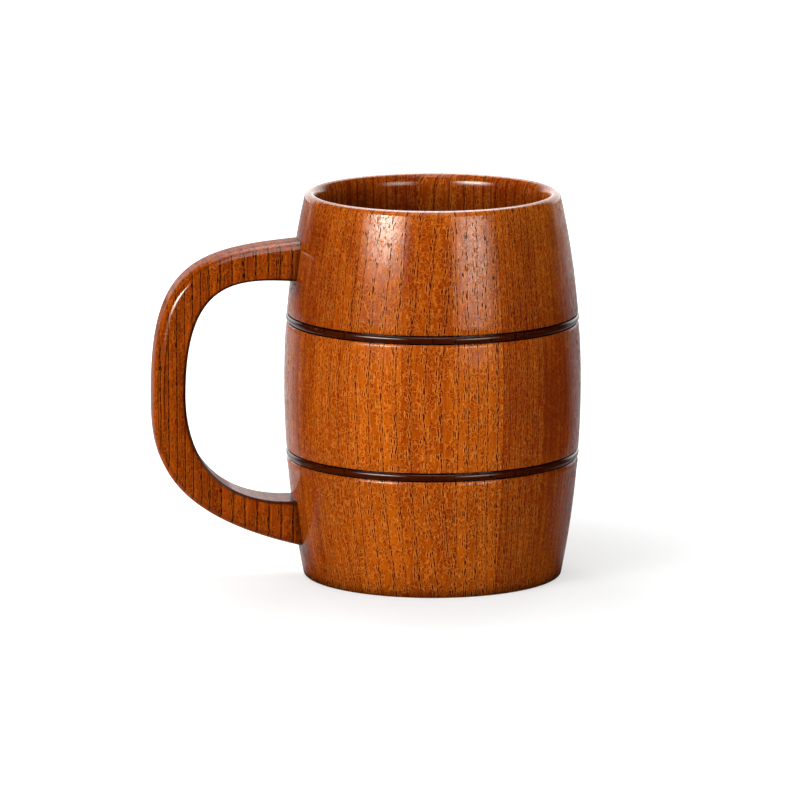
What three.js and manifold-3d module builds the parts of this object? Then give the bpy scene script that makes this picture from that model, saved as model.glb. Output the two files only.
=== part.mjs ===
// A wooden tankard: a small barrel of staves with a bottom head, two dark hoops and a sawn handle.
// Millimetres, +Z up. The origin is the middle of the base; the handle stands out along -X.
import * as THREE from 'three';
import { mergeVertices } from 'three/addons/utils/BufferGeometryUtils.js';
import Module from 'manifold-3d';

// Driving dimensions of the barrel
const barrelHeight = 128.4;
const bellyHeight = 64.6;
const boreRadius = 38.2;
const boreTaper = 1.0;
const rimWall = 4.0;
const footWall = 5.75;
const bellyBulge = 7.3;
const lipOuterRound = 2.2;
const lipInnerRound = 1.8;
const lipOuterLimit = 0.63;
const footRound = 0.6;

// Driving dimensions of the staves
const staveCount = 18;
const glueLine = 0.2;

// Driving dimensions of the bottom head and its groove in the staves
const headThickness = 10;
const tongueRise = 3.5;
const tongueThickness = 4;
const crozeDepth = 2.8;

// Driving dimensions of the hoops and their grooves
const upperHoopDrop = 41.55;
const lowerHoopRise = 41.3;
const hoopWidth = 2.1;
const hoopSideGap = 0.45;
const hoopProud = 0.2;
const hoopCrown = 0.5;
const hoopJoint = 0.4;
const grooveDepth = 1.2;
const grooveEdgeRound = 0.6;

// Driving dimensions of the handle
const handleWidth = 16;
const handleEdgeRound = 1.1;
const fingerGap = 33.8;
const gripDepth = 10.5;
const gripHeight = 63.0;
const upperArmDrop = 14.3;
const upperArmDepth = 13.6;
const lowerArmRise = 11.4;
const lowerArmDepth = 15.5;

// How full each edge of the handle is: the pull of its curve along the arm, off the arm and up the grip
const upperOuterEdge = { run: 0.539, rise: 0.093, grip: 0.976 };
const upperInnerEdge = { run: 0.536, rise: -0.038, grip: 1.143 };
const lowerOuterEdge = { run: 0.958, rise: 0.214, grip: 0.419 };
const lowerInnerEdge = { run: 0.672, rise: -0.111, grip: 0.639 };

// Driving dimensions of the dowels that hold the handle
const dowelDiameter = 6;
const dowelInStave = 5.5;
const dowelInHandle = 9;
const dowelChamfer = 0.6;
const dowelLift = 1.0;

// Clearance between a piece and the seat cut for it
const fitGap = 0.3;

// Fineness of the round shapes
const facetsPerStave = 3;
const sideFacets = 5;
const curveFacets = 14;
const roundFacets = 3;
const dowelFacets = 20;

// Derived sizes
const floorBoreRadius = boreRadius - boreTaper;
const rimRadius = boreRadius + rimWall;
const footRadius = floorBoreRadius + footWall;
const bellyRadius = rimRadius + bellyBulge;
const upperHoopHeight = barrelHeight - upperHoopDrop;
const lowerHoopHeight = lowerHoopRise;
const grooveWidth = hoopWidth + 2 * hoopSideGap;
const stavePitch = 2 * Math.PI / staveCount;
const handleAngle = Math.PI;
const ringFacets = staveCount * facetsPerStave;
const gripInner = bellyRadius + fingerGap;
const gripOuter = gripInner + gripDepth;
const upperArmTop = barrelHeight - upperArmDrop;
const upperArmUnder = upperArmTop - upperArmDepth;
const lowerArmTop = lowerArmRise + lowerArmDepth;
const upperDowelHeight = (upperArmTop + upperArmUnder) / 2;
const lowerDowelHeight = (lowerArmTop + lowerArmRise) / 2 + dowelLift;

const wasm = await Module();
wasm.setup();

// Keeps only the positions, shares the common vertices and drops triangles that have shrunk to a line.
function closedMesh(geometry) {
  const bare = geometry.clone();
  bare.deleteAttribute('normal');
  bare.deleteAttribute('uv');
  const merged = mergeVertices(bare);
  const corners = merged.index.array;
  const kept = [];
  for (let i = 0; i < corners.length; i += 3) {
    const [a, b, c] = [corners[i], corners[i + 1], corners[i + 2]];
    if (a !== b && b !== c && c !== a) kept.push(a, b, c);
  }
  merged.setIndex(kept);
  return merged;
}

function solidOf(geometry) {
  const mesh = closedMesh(geometry);
  const vertProperties = new Float32Array(mesh.attributes.position.array);
  const triVerts = new Uint32Array(mesh.index.array);
  return new wasm.Manifold(new wasm.Mesh({ numProp: 3, vertProperties, triVerts }));
}

function geometryOf(solid) {
  const mesh = solid.getMesh();
  const geometry = new THREE.BufferGeometry();
  geometry.setAttribute('position', new THREE.BufferAttribute(mesh.vertProperties, 3));
  geometry.setIndex(new THREE.BufferAttribute(mesh.triVerts, 1));
  geometry.computeVertexNormals();
  return geometry;
}

// Turns a closed (radius, height) profile about the vertical axis.
function turned(profile, facets) {
  const points = profile.map(([radius, height]) => new THREE.Vector2(radius, height));
  return closedMesh(new THREE.LatheGeometry(points, facets).rotateX(Math.PI / 2));
}

function arc(centreRadius, centreHeight, radius, from, to, facets) {
  const points = [];
  for (let i = 0; i <= facets; i += 1) {
    const angle = from + (to - from) * i / facets;
    points.push([centreRadius + radius * Math.cos(angle), centreHeight + radius * Math.sin(angle)]);
  }
  return points;
}

// The outside of the barrel is two arcs that meet, both upright, at the belly.
function bulgeArc(edgeHeight, edgeRadius) {
  const rise = Math.abs(edgeHeight - bellyHeight);
  const inset = bellyRadius - edgeRadius;
  return (rise * rise + inset * inset) / (2 * inset);
}

const upperArc = bulgeArc(barrelHeight, rimRadius);
const lowerArc = bulgeArc(0, footRadius);

function barrelRadius(height) {
  const bend = height > bellyHeight ? upperArc : lowerArc;
  const rise = height - bellyHeight;
  return bellyRadius - bend + Math.sqrt(bend * bend - rise * rise);
}

function barrelSide(from, to, facets) {
  const points = [];
  for (let i = 0; i <= facets; i += 1) {
    const height = from + (to - from) * i / facets;
    points.push([barrelRadius(height), height]);
  }
  return points;
}

// A rounding that is tangent to the flat end of the barrel and to the arc of its side.
function endRound(bend, size, centreHeight) {
  const rise = centreHeight - bellyHeight;
  const centreRadius = bellyRadius - bend + Math.sqrt((bend - size) ** 2 - rise * rise);
  const lean = Math.atan2(rise, centreRadius - (bellyRadius - bend));
  return { centreRadius, centreHeight, size, lean };
}

function hoopGroove(height) {
  const low = height - grooveWidth / 2;
  const high = height + grooveWidth / 2;
  const edge = barrelRadius(height) - grooveEdgeRound;
  const floor = barrelRadius(height) - grooveDepth;
  const lowEdge = arc(edge, low - grooveEdgeRound, grooveEdgeRound, 0, Math.PI / 2, roundFacets);
  const highEdge = arc(edge, high + grooveEdgeRound, grooveEdgeRound, -Math.PI / 2, 0, roundFacets);
  return [...lowEdge, [floor, low], [floor, high], ...highEdge];
}

// The wall of the barrel in section, from the inner edge of the foot, up the outside and down the bore.
function wallProfile() {
  const lipOuter = Math.min(lipOuterRound, rimWall * lipOuterLimit);
  const lipInner = Math.min(lipInnerRound, rimWall - lipOuter);
  const foot = endRound(lowerArc, footRound, footRound);
  const lip = endRound(upperArc, lipOuter, barrelHeight - lipOuter);
  const footSide = foot.centreHeight + footRound * Math.sin(foot.lean);
  const lipSide = lip.centreHeight + lipOuter * Math.sin(lip.lean);
  const grooveReach = grooveWidth / 2 + grooveEdgeRound;
  const lipCentre = boreRadius + lipInner;
  const crozeLow = tongueRise - fitGap;
  const crozeHigh = tongueRise + tongueThickness + fitGap;
  const crozeRadius = floorBoreRadius + crozeDepth;
  return [
    [floorBoreRadius, 0],
    ...arc(foot.centreRadius, foot.centreHeight, footRound, -Math.PI / 2, foot.lean, roundFacets),
    ...barrelSide(footSide, lowerHoopHeight - grooveReach, sideFacets).slice(1, -1),
    ...hoopGroove(lowerHoopHeight),
    ...barrelSide(lowerHoopHeight + grooveReach, upperHoopHeight - grooveReach, sideFacets).slice(1, -1),
    ...hoopGroove(upperHoopHeight),
    ...barrelSide(upperHoopHeight + grooveReach, lipSide, sideFacets).slice(1, -1),
    ...arc(lip.centreRadius, lip.centreHeight, lipOuter, lip.lean, Math.PI / 2, roundFacets + 1),
    ...arc(lipCentre, barrelHeight - lipInner, lipInner, Math.PI / 2, Math.PI, roundFacets),
    [floorBoreRadius, headThickness],
    [floorBoreRadius, crozeHigh],
    [crozeRadius, crozeHigh],
    [crozeRadius, crozeLow],
    [floorBoreRadius, crozeLow],
    [floorBoreRadius, 0],
  ];
}

// The slice of the wall that one stave takes up, with half a glue line taken off each side.
function staveSlice() {
  const half = stavePitch / 2;
  const apex = glueLine / 2 / Math.sin(half);
  const far = 2 * bellyRadius;
  const middle = new THREE.Vector2(Math.cos(handleAngle), Math.sin(handleAngle));
  const tip = middle.clone().multiplyScalar(apex);
  const left = middle.clone().rotateAround(new THREE.Vector2(), half).multiplyScalar(far).add(tip);
  const right = middle.clone().rotateAround(new THREE.Vector2(), -half).multiplyScalar(far).add(tip);
  const outline = new THREE.Shape([tip, right, left]);
  const depth = 2 * barrelHeight;
  const slice = new THREE.ExtrudeGeometry(outline, { depth, bevelEnabled: false });
  return slice.translate(0, 0, -barrelHeight / 2);
}

// The solid that the ends of the handle are hollowed to fit: the barrel, one clearance larger.
function barrelEnvelope() {
  const side = barrelSide(0, barrelHeight, curveFacets);
  const shell = side.map(([radius, height]) => [radius + fitGap, height]);
  return turned([[0, 0], ...shell, [0, barrelHeight]], ringFacets);
}

function dowelProfile(radius, length, chamfer) {
  return [
    [0, 0],
    [radius - chamfer, 0],
    [radius, chamfer],
    [radius, length - chamfer],
    [radius - chamfer, length],
    [0, length],
  ];
}

// A dowel hole lies along the handle's arm: half in the stave, half in the arm.
function dowelHole(height) {
  const start = barrelRadius(height) - dowelInStave - fitGap;
  const length = dowelInStave + dowelInHandle + 2 * fitGap;
  const hole = turned(dowelProfile(dowelDiameter / 2 + fitGap, length, dowelChamfer), dowelFacets);
  return hole.rotateY(-Math.PI / 2).translate(-start, 0, height);
}

// One edge of the handle, from the barrel to the middle of the grip.
function handleEdge(armHeight, gripRadius, edge) {
  const rise = gripHeight - armHeight;
  const run = gripRadius - rimRadius;
  return new THREE.CubicBezierCurve(
    new THREE.Vector2(-rimRadius, armHeight),
    new THREE.Vector2(-rimRadius - edge.run * run, armHeight + edge.rise * rise),
    new THREE.Vector2(-gripRadius, gripHeight - edge.grip * rise),
    new THREE.Vector2(-gripRadius, gripHeight),
  );
}

function handleOutline() {
  const upperOuter = handleEdge(upperArmTop, gripOuter, upperOuterEdge).getPoints(curveFacets);
  const upperInner = handleEdge(upperArmUnder, gripInner, upperInnerEdge).getPoints(curveFacets);
  const lowerOuter = handleEdge(lowerArmRise, gripOuter, lowerOuterEdge).getPoints(curveFacets);
  const lowerInner = handleEdge(lowerArmTop, gripInner, lowerInnerEdge).getPoints(curveFacets);
  const root = -(rimRadius - 2 * handleEdgeRound);
  return new THREE.Shape([
    new THREE.Vector2(root, upperArmTop),
    ...upperOuter.slice(0, -1),
    ...lowerOuter.reverse(),
    new THREE.Vector2(root, lowerArmRise),
    new THREE.Vector2(root, lowerArmTop),
    ...lowerInner.slice(0, -1),
    ...upperInner.reverse(),
    new THREE.Vector2(root, upperArmUnder),
  ]);
}

function handleGeometry() {
  const depth = handleWidth - 2 * handleEdgeRound;
  const blank = new THREE.ExtrudeGeometry(handleOutline(), {
    depth,
    bevelSize: handleEdgeRound,
    bevelThickness: handleEdgeRound,
    bevelOffset: -handleEdgeRound,
    bevelSegments: roundFacets,
  });
  blank.translate(0, 0, -depth / 2).rotateX(Math.PI / 2);
  const coped = solidOf(blank).subtract(solidOf(barrelEnvelope()));
  const upperHole = solidOf(dowelHole(upperDowelHeight));
  const lowerHole = solidOf(dowelHole(lowerDowelHeight));
  return geometryOf(coped.subtract(upperHole).subtract(lowerHole));
}

function headGeometry() {
  const plug = floorBoreRadius - fitGap;
  const tongue = floorBoreRadius + crozeDepth - fitGap;
  const tongueTop = tongueRise + tongueThickness;
  const profile = [
    [0, 0],
    [plug, 0],
    [plug, tongueRise],
    [tongue, tongueRise],
    [tongue, tongueTop],
    [plug, tongueTop],
    [plug, headThickness],
    [0, headThickness],
  ];
  return turned(profile, ringFacets);
}

// A half-round strip bent round in its groove, with a butt joint behind the handle.
function hoopGeometry(height) {
  const inner = barrelRadius(height) - grooveDepth + fitGap;
  const crown = barrelRadius(height) + hoopProud;
  const half = hoopWidth / 2;
  const face = [];
  for (let i = 0; i <= 2 * roundFacets; i += 1) {
    const across = -1 + i / roundFacets;
    face.push([crown - hoopCrown * across * across, half * across]);
  }
  const ring = turned([[inner, -half], ...face, [inner, half], [inner, -half]], ringFacets);
  const joint = new THREE.BoxGeometry(crown, hoopJoint, 2 * hoopWidth).translate(-crown, 0, 0);
  return geometryOf(solidOf(ring).subtract(solidOf(joint)));
}

function dowelGeometry() {
  const profile = dowelProfile(dowelDiameter / 2, dowelInStave + dowelInHandle, dowelChamfer);
  return turned(profile, dowelFacets);
}

const tankard = new THREE.Group();

function addPiece(parent, name, geometry, color, roughness) {
  const material = new THREE.MeshStandardMaterial({ color, roughness, metalness: 0 });
  const piece = new THREE.Mesh(geometry, material);
  piece.name = name;
  parent.add(piece);
  return piece;
}

const staveColor = 0xa65312;
const headColor = 0x8f4510;
const handleColor = 0x9c4a0d;
const hoopColor = 0x2b160c;
const dowelColor = 0xc79a63;
const lacquerRoughness = 0.32;
const bareRoughness = 0.75;

// The staves, counted round from the one that carries the handle
const barrel = new THREE.Group();
tankard.add(barrel);
const plainStave = solidOf(turned(wallProfile(), ringFacets)).intersect(solidOf(staveSlice()));
const upperHole = solidOf(dowelHole(upperDowelHeight));
const lowerHole = solidOf(dowelHole(lowerDowelHeight));
const handleStave = plainStave.subtract(upperHole).subtract(lowerHole);
for (let i = 0; i < staveCount; i += 1) {
  const name = `stave_${String(i + 1).padStart(2, '0')}`;
  const solid = i === 0 ? handleStave : plainStave;
  const stave = addPiece(barrel, name, geometryOf(solid), staveColor, lacquerRoughness);
  stave.rotation.z = i * stavePitch;
}

// The bottom head, its tongue let into the groove near the foot
addPiece(tankard, 'bottom_head', headGeometry(), headColor, lacquerRoughness);

// The hoops, each in its own groove
for (const [name, height] of [['hoop_upper', upperHoopHeight], ['hoop_lower', lowerHoopHeight]]) {
  const hoop = addPiece(tankard, name, hoopGeometry(height), hoopColor, lacquerRoughness);
  hoop.position.z = height;
}

// The handle and the two blind dowels that carry it
const handleGroup = new THREE.Group();
tankard.add(handleGroup);
addPiece(handleGroup, 'handle', handleGeometry(), handleColor, lacquerRoughness);
for (const [name, height] of [['dowel_upper', upperDowelHeight], ['dowel_lower', lowerDowelHeight]]) {
  const dowel = addPiece(handleGroup, name, dowelGeometry(), dowelColor, bareRoughness);
  dowel.rotation.y = -Math.PI / 2;
  dowel.position.set(-(barrelRadius(height) - dowelInStave), 0, height);
}

export default tankard;
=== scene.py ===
# %% [markdown]
# # A wooden tankard
# The tankard is a small barrel: eighteen staves glued edge to edge, a bottom let into a groove, two dark
# hoops in turned grooves and a handle sawn from one board. The solids that hold its sizes are loaded
# first. Every piece made below takes its place from them, in metres, with the handle along -X.

# %% Load the solids and keep their box
import random
from math import atan, atan2, cos, hypot, pi, radians, sin, sqrt

import bpy
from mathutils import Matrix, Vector


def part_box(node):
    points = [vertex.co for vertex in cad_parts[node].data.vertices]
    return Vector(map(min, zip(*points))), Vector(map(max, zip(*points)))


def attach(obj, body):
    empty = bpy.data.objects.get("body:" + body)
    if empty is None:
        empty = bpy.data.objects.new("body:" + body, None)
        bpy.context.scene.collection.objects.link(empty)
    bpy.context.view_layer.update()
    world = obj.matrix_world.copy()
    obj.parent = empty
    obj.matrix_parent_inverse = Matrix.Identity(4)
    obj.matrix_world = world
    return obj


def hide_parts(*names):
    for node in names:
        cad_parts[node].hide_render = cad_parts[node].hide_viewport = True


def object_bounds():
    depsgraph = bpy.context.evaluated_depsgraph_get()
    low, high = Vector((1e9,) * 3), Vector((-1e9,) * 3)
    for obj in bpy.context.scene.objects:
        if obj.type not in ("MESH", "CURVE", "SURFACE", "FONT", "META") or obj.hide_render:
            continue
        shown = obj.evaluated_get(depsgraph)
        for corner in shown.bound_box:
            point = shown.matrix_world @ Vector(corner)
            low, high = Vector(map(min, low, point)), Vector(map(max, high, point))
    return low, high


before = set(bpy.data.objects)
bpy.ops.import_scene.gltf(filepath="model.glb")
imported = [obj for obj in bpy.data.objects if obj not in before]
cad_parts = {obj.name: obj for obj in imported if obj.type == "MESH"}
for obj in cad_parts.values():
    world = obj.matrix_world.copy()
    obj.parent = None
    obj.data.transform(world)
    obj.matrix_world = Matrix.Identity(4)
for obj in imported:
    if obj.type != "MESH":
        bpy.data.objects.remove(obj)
cad_low, cad_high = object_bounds()
MM = 0.001
print("solids:", len(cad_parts), "box in mm:", [round(v / MM, 2) for v in (*cad_low, *cad_high)])

# %% [markdown]
# ## The sizes of the barrel
# The outside of the barrel is two long arcs that meet at the belly. The height and the belly come from
# the solids' own box, and the smaller sizes are those a turner would set: the bore, the lip and the foot.

# %% Sizes of the barrel
HEIGHT = cad_high.z
BELLY_RADIUS = cad_high.x
BELLY_HEIGHT = 64.6 * MM
RIM_RADIUS = 42.2 * MM
FOOT_RADIUS = 42.95 * MM
BORE_RADIUS = 38.2 * MM
FLOOR_BORE_RADIUS = 37.2 * MM
LIP_OUTER_ROUND = 2.1 * MM
LIP_INNER_DROP = 5.0 * MM
LIP_FULLNESS = 2.2
FOOT_ROUND = 0.6 * MM


def bulge_arc(edge_height, edge_radius):
    rise = edge_height - BELLY_HEIGHT
    inset = BELLY_RADIUS - edge_radius
    return (rise * rise + inset * inset) / (2 * inset)


UPPER_ARC = bulge_arc(HEIGHT, RIM_RADIUS)
LOWER_ARC = bulge_arc(0.0, FOOT_RADIUS)


def barrel_radius(height):
    arc = UPPER_ARC if height > BELLY_HEIGHT else LOWER_ARC
    rise = height - BELLY_HEIGHT
    return BELLY_RADIUS - arc + sqrt(arc * arc - rise * rise)


print("belly radius in mm:", round(BELLY_RADIUS / MM, 2), "side arc in mm:", round(UPPER_ARC / MM))

# %% [markdown]
# ## The barrel's wall in section
# A stave is easiest to make as a section that is swept round the axis for twenty degrees. The section is
# a closed list of (radius, height) points: up the outside with its two hoop grooves, over the lip, down
# the bore and round the groove that holds the bottom. Round stretches are worked out as arcs.

# %% Helpers for sections
def spread(first, last, steps):
    """Evenly spaced values from first to last, both included."""
    return [first + (last - first) * i / steps for i in range(steps + 1)]


def arc_points(radius, height, size, start, end, steps):
    return [(radius + size * cos(a), height + size * sin(a)) for a in spread(start, end, steps)]


def side_points(low, high, steps):
    return [(barrel_radius(h), h) for h in spread(low, high, steps)]


def full_round(radius, height, width, drop, start, end, steps):
    """A quarter of a full, squarish oval: start and end are turns from the side to the top."""
    power = 2 / LIP_FULLNESS
    return [(radius + width * cos(a) ** power, height + drop * sin(a) ** power)
            for a in spread(start, end, steps)]


def end_round(arc, size, height):
    """The rounding that touches both the flat end at the rim or foot and the arc of the side."""
    rise = height - BELLY_HEIGHT
    middle = BELLY_RADIUS - arc
    radius = middle + sqrt((arc - size) ** 2 - rise * rise)
    return radius, atan2(rise, radius - middle)


# %% The hoop grooves
QUARTER = pi / 2
HOOP_HEIGHTS = [sum(corner.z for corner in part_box(n)) / 2 for n in ("hoop_lower", "hoop_upper")]
HOOP_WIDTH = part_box("hoop_upper")[1].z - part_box("hoop_upper")[0].z
GROOVE_HALF = HOOP_WIDTH / 2 + 0.45 * MM
GROOVE_DEPTH = 1.2 * MM
GROOVE_EDGE = 0.45 * MM
EASED_EDGE = 1.6 * MM
EASED_DEPTH = 0.5 * MM
ROUND_STEPS = 6
EASED_STEPS = 10


def hoop_groove(height):
    """The groove's section, with a softly eased lower edge and a crisp upper one."""
    low, high = height - GROOVE_HALF, height + GROOVE_HALF
    below, above = barrel_radius(low) - EASED_DEPTH, barrel_radius(high) - GROOVE_EDGE
    floor = barrel_radius(height) - GROOVE_DEPTH
    lower_edge = [(below + EASED_DEPTH * cos(a), low - EASED_EDGE * (1 - sin(a)))
                  for a in spread(0, QUARTER, EASED_STEPS)]
    upper_edge = arc_points(above, high + GROOVE_EDGE, GROOVE_EDGE, -QUARTER, 0, ROUND_STEPS)
    return [*lower_edge, (floor, low), (floor, high), *upper_edge]


print("hoop heights in mm:", [round(h / MM, 2) for h in HOOP_HEIGHTS])

# %% The whole section of the wall
HEAD_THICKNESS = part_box("bottom_head")[1].z
TONGUE_LOW = 3.5 * MM
TONGUE_HIGH = 7.5 * MM
CROZE_RADIUS = FLOOR_BORE_RADIUS + 2.8 * MM
SEAT_GAP = 0.15 * MM
SIDE_STEPS = 14
BORE_STEPS = 16
LIP_STEPS = 14
CREST_RADIUS, LIP_LEAN = end_round(UPPER_ARC, LIP_OUTER_ROUND, HEIGHT - LIP_OUTER_ROUND)
LIP_FOOT = HEIGHT - LIP_OUTER_ROUND * (1 - sin(LIP_LEAN))
UNDER_LIP = LIP_FOOT - 0.4 * MM


def wall_section():
    foot_radius, foot_lean = end_round(LOWER_ARC, FOOT_ROUND, FOOT_ROUND)
    over, under = GROOVE_HALF + GROOVE_EDGE, GROOVE_HALF + EASED_EDGE
    lower, upper = HOOP_HEIGHTS
    foot_top = FOOT_ROUND + FOOT_ROUND * sin(foot_lean)
    inner_top = HEIGHT - LIP_INNER_DROP
    lip_middle = HEIGHT - LIP_OUTER_ROUND
    outer_lip = arc_points(CREST_RADIUS, lip_middle, LIP_OUTER_ROUND, LIP_LEAN, QUARTER, LIP_STEPS)
    inner_width = BORE_RADIUS - CREST_RADIUS
    inner_lip = full_round(CREST_RADIUS, inner_top, inner_width, LIP_INNER_DROP, QUARTER, 0.0, LIP_STEPS)
    bore_radii = spread(BORE_RADIUS, FLOOR_BORE_RADIUS, BORE_STEPS)
    bore = list(zip(bore_radii, spread(inner_top, HEAD_THICKNESS, BORE_STEPS)))
    return [
        (FLOOR_BORE_RADIUS, 0.0),
        *arc_points(foot_radius, FOOT_ROUND, FOOT_ROUND, -QUARTER, foot_lean, ROUND_STEPS),
        *side_points(foot_top, lower - under, SIDE_STEPS)[1:-1],
        *hoop_groove(lower),
        *side_points(lower + over, upper - under, SIDE_STEPS)[1:-1],
        *hoop_groove(upper),
        *side_points(upper + over, LIP_FOOT, SIDE_STEPS)[1:-1],
        (barrel_radius(UNDER_LIP), UNDER_LIP),
        *outer_lip,
        *inner_lip[1:],
        *bore[1:],
        (FLOOR_BORE_RADIUS, TONGUE_HIGH + SEAT_GAP),
        (CROZE_RADIUS, TONGUE_HIGH + SEAT_GAP),
        (CROZE_RADIUS, TONGUE_LOW - SEAT_GAP),
        (FLOOR_BORE_RADIUS, TONGUE_LOW - SEAT_GAP),
    ]


WALL = wall_section()
print("points in the wall's section:", len(WALL))

# %% [markdown]
# ## Sweeping a section round the axis
# One helper makes the mesh of every piece and another lists the faces of those that are swept. The first
# also stores, on every point, where it lay in its board before turning: across the board, through it and
# along the grain, in millimetres. The wood's figure is drawn in those coordinates, so it runs through the
# solid wood, and the lip and the bore show the same rings as the outside. Four more values go with each
# point: its tone, which also carries some painted light and shade, how dark it is made by staining and by
# painted shade, whether open end grain shows, and how boldly the pores show.

# %% A mesh piece with board coordinates
SHARP = radians(35)
POINT_VALUES = ("tone", "stain_and_shade", "open_grain", "pore_show")


def new_object(name, data):
    thing = bpy.data.objects.new(name, data)
    bpy.context.scene.collection.objects.link(thing)
    return thing


def make_piece(name, points, faces, boards, heart, values):
    """A smooth mesh with its board coordinates, its tree's heart and its named values at every point."""
    mesh = bpy.data.meshes.new(name)
    mesh.from_pydata(points, [], faces)
    mesh.validate()
    mesh.polygons.foreach_set("use_smooth", [True] * len(mesh.polygons))
    mesh.set_sharp_from_angle(angle=SHARP)
    board = mesh.attributes.new("board", "FLOAT_VECTOR", "POINT")
    board.data.foreach_set("vector", [v for point in boards for v in point])
    tree = mesh.attributes.new("tree", "FLOAT_VECTOR", "POINT")
    tree.data.foreach_set("vector", list(heart) * len(points))
    for label in POINT_VALUES:
        layer = mesh.attributes.new(label, "FLOAT", "POINT")
        given = values.get(label, 0.0)
        layer.data.foreach_set("value", given if isinstance(given, list) else [given] * len(points))
    return new_object(name, mesh)


def swept_faces(rows, columns):
    """Quads for a closed section of so many rows, swept through so many columns, with its two ends."""
    faces = []
    for c in range(columns):
        for r in range(rows):
            s = (r + 1) % rows
            faces.append((c * rows + r, (c + 1) * rows + r, (c + 1) * rows + s, c * rows + s))
    last = columns * rows
    return [*faces, tuple(range(rows))[::-1], tuple(range(last, last + rows))]


# %% [markdown]
# ## How each stave was cut
# Staves come from different boards, so each has its own rings. Where the rings stand square to the face
# the stave shows straight rows of pores; where they lie flat it shows a mottled figure. Each stave gets
# the lean of its rings in degrees, their spacing in millimetres, a tone, how boldly its pores show and
# how much paler it gets towards its ends. The staves that the front view shows are given one by one,
# and a seeded draw settles the rest.

# %% Choose the cut of each stave
STAVE_NAMES = sorted(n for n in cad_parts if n.startswith("stave_"))
STAVE_PITCH = 2 * pi / len(STAVE_NAMES)
HANDLE_ANGLE = pi
HEART_DISTANCE = 130.0
BOARD_MIDDLE = 44.0
# For staves 7 to 9, at the right-hand edge, the low tones are painted shade at the belly; for staves 6 to 9
# the last column is painted light, which makes them paler towards top and foot.
CHOSEN_CUTS = {
    1: (25, 3.4, 0.35, 0.6, 0.0),
    2: (20, 3.3, 0.52, 0.8, 0.0),
    3: (20, 4.2, 0.80, 1.0, 0.0),
    4: (30, 4.4, 0.50, 1.0, 0.0),
    5: (12, 3.4, 0.70, 1.0, 0.0),
    6: (14, 2.4, 0.26, 0.9, 0.30),
    7: (20, 2.6, -0.10, 0.6, 1.10),
    8: (16, 3.0, -0.60, 0.5, 1.80),
    9: (14, 3.1, -0.60, 0.5, 1.80),
    12: (10, 3.1, 0.55, 0.8, 0.0),
    13: (48, 3.6, 0.60, 0.7, 0.0),
    14: (15, 3.2, 0.40, 0.8, 0.0),
    15: (8, 3.3, 0.35, 0.8, 0.0),
    16: (14, 3.0, 0.45, 0.8, 0.0),
}
DRAWN_RANGES = ((5, 32), (2.8, 4.2), (0.25, 0.7))
DRAWN_PORES = 0.8
draw = random.Random(18)
stave_cuts = []
for index in range(len(STAVE_NAMES)):
    drawn = (*[draw.uniform(*limits) for limits in DRAWN_RANGES], DRAWN_PORES, 0.0)
    stave_cuts.append(CHOSEN_CUTS.get(index, drawn))
print("cuts in degrees:", [round(cut[0]) for cut in stave_cuts])

# %% [markdown]
# ## Stain and painted shade on a stave
# Dark staining lies in the hoop grooves, deepened there with painted shade. Painted shade darkens the bore,
# the bands above and below the hoops, the foot and the corner under each arm of the handle. Each stave is
# also a little paler towards the rim. These values are worked out once for each point of the wall's section.

# %% Values along the wall's section
# Painted shade inside the bore, growing over the first millimetres below the rim.
BORE_PAINTED_SHADE = 0.53
BORE_SHADE_DEPTH = 7.0 * MM
# Painted shade: the band above the upper hoop is darkened, and it and the bore are toned deeper.
UPPER_BAND_SHADE = 0.10
UPPER_AND_BORE_SHADE = 0.15
# Painted shade on the band below the lower hoop, deeper near the floor and darkest on the foot's bottom edge.
LOWER_BAND_SHADE = 0.09
FOOT_SHADE = 0.28
FOOT_SHADE_RISE = 9.0 * MM
FOOT_EDGE_SHADE = 0.75
LIP_REACH = 3.0 * MM
GROOVE_SLACK = 0.01 * MM
GROOVE_DARK_DEPTH = 0.3 * MM
# Each stave is made paler over the last millimetres below the rim.
RIM_PALER_TONE = 0.35
RIM_PALER_REACH = 9.0 * MM
LOWER_PAINTED_LIGHT = 0.5


def in_bore(radius, height):
    return radius < barrel_radius(height) - LIP_REACH


def stave_stain_and_shade(radius, height):
    """How dark a point is made: fully in the hoop grooves by dark staining and painted shade, and by painted
    shade in the bore, on the bands above and below the hoops and at the foot.
    """
    if in_bore(radius, height):
        return BORE_PAINTED_SHADE * min(1.0, (HEIGHT - height) / BORE_SHADE_DEPTH)
    grooved = any(abs(height - middle) < GROOVE_HALF + GROOVE_SLACK for middle in HOOP_HEIGHTS)
    if grooved and radius < barrel_radius(height) - GROOVE_DARK_DEPTH:
        return 1.0
    if height > HOOP_HEIGHTS[1]:
        return UPPER_BAND_SHADE
    if height < FOOT_ROUND:
        return FOOT_EDGE_SHADE
    if height < HOOP_HEIGHTS[0]:
        return LOWER_BAND_SHADE + FOOT_SHADE * max(0.0, 1 - height / FOOT_SHADE_RISE)
    return 0.0


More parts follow.
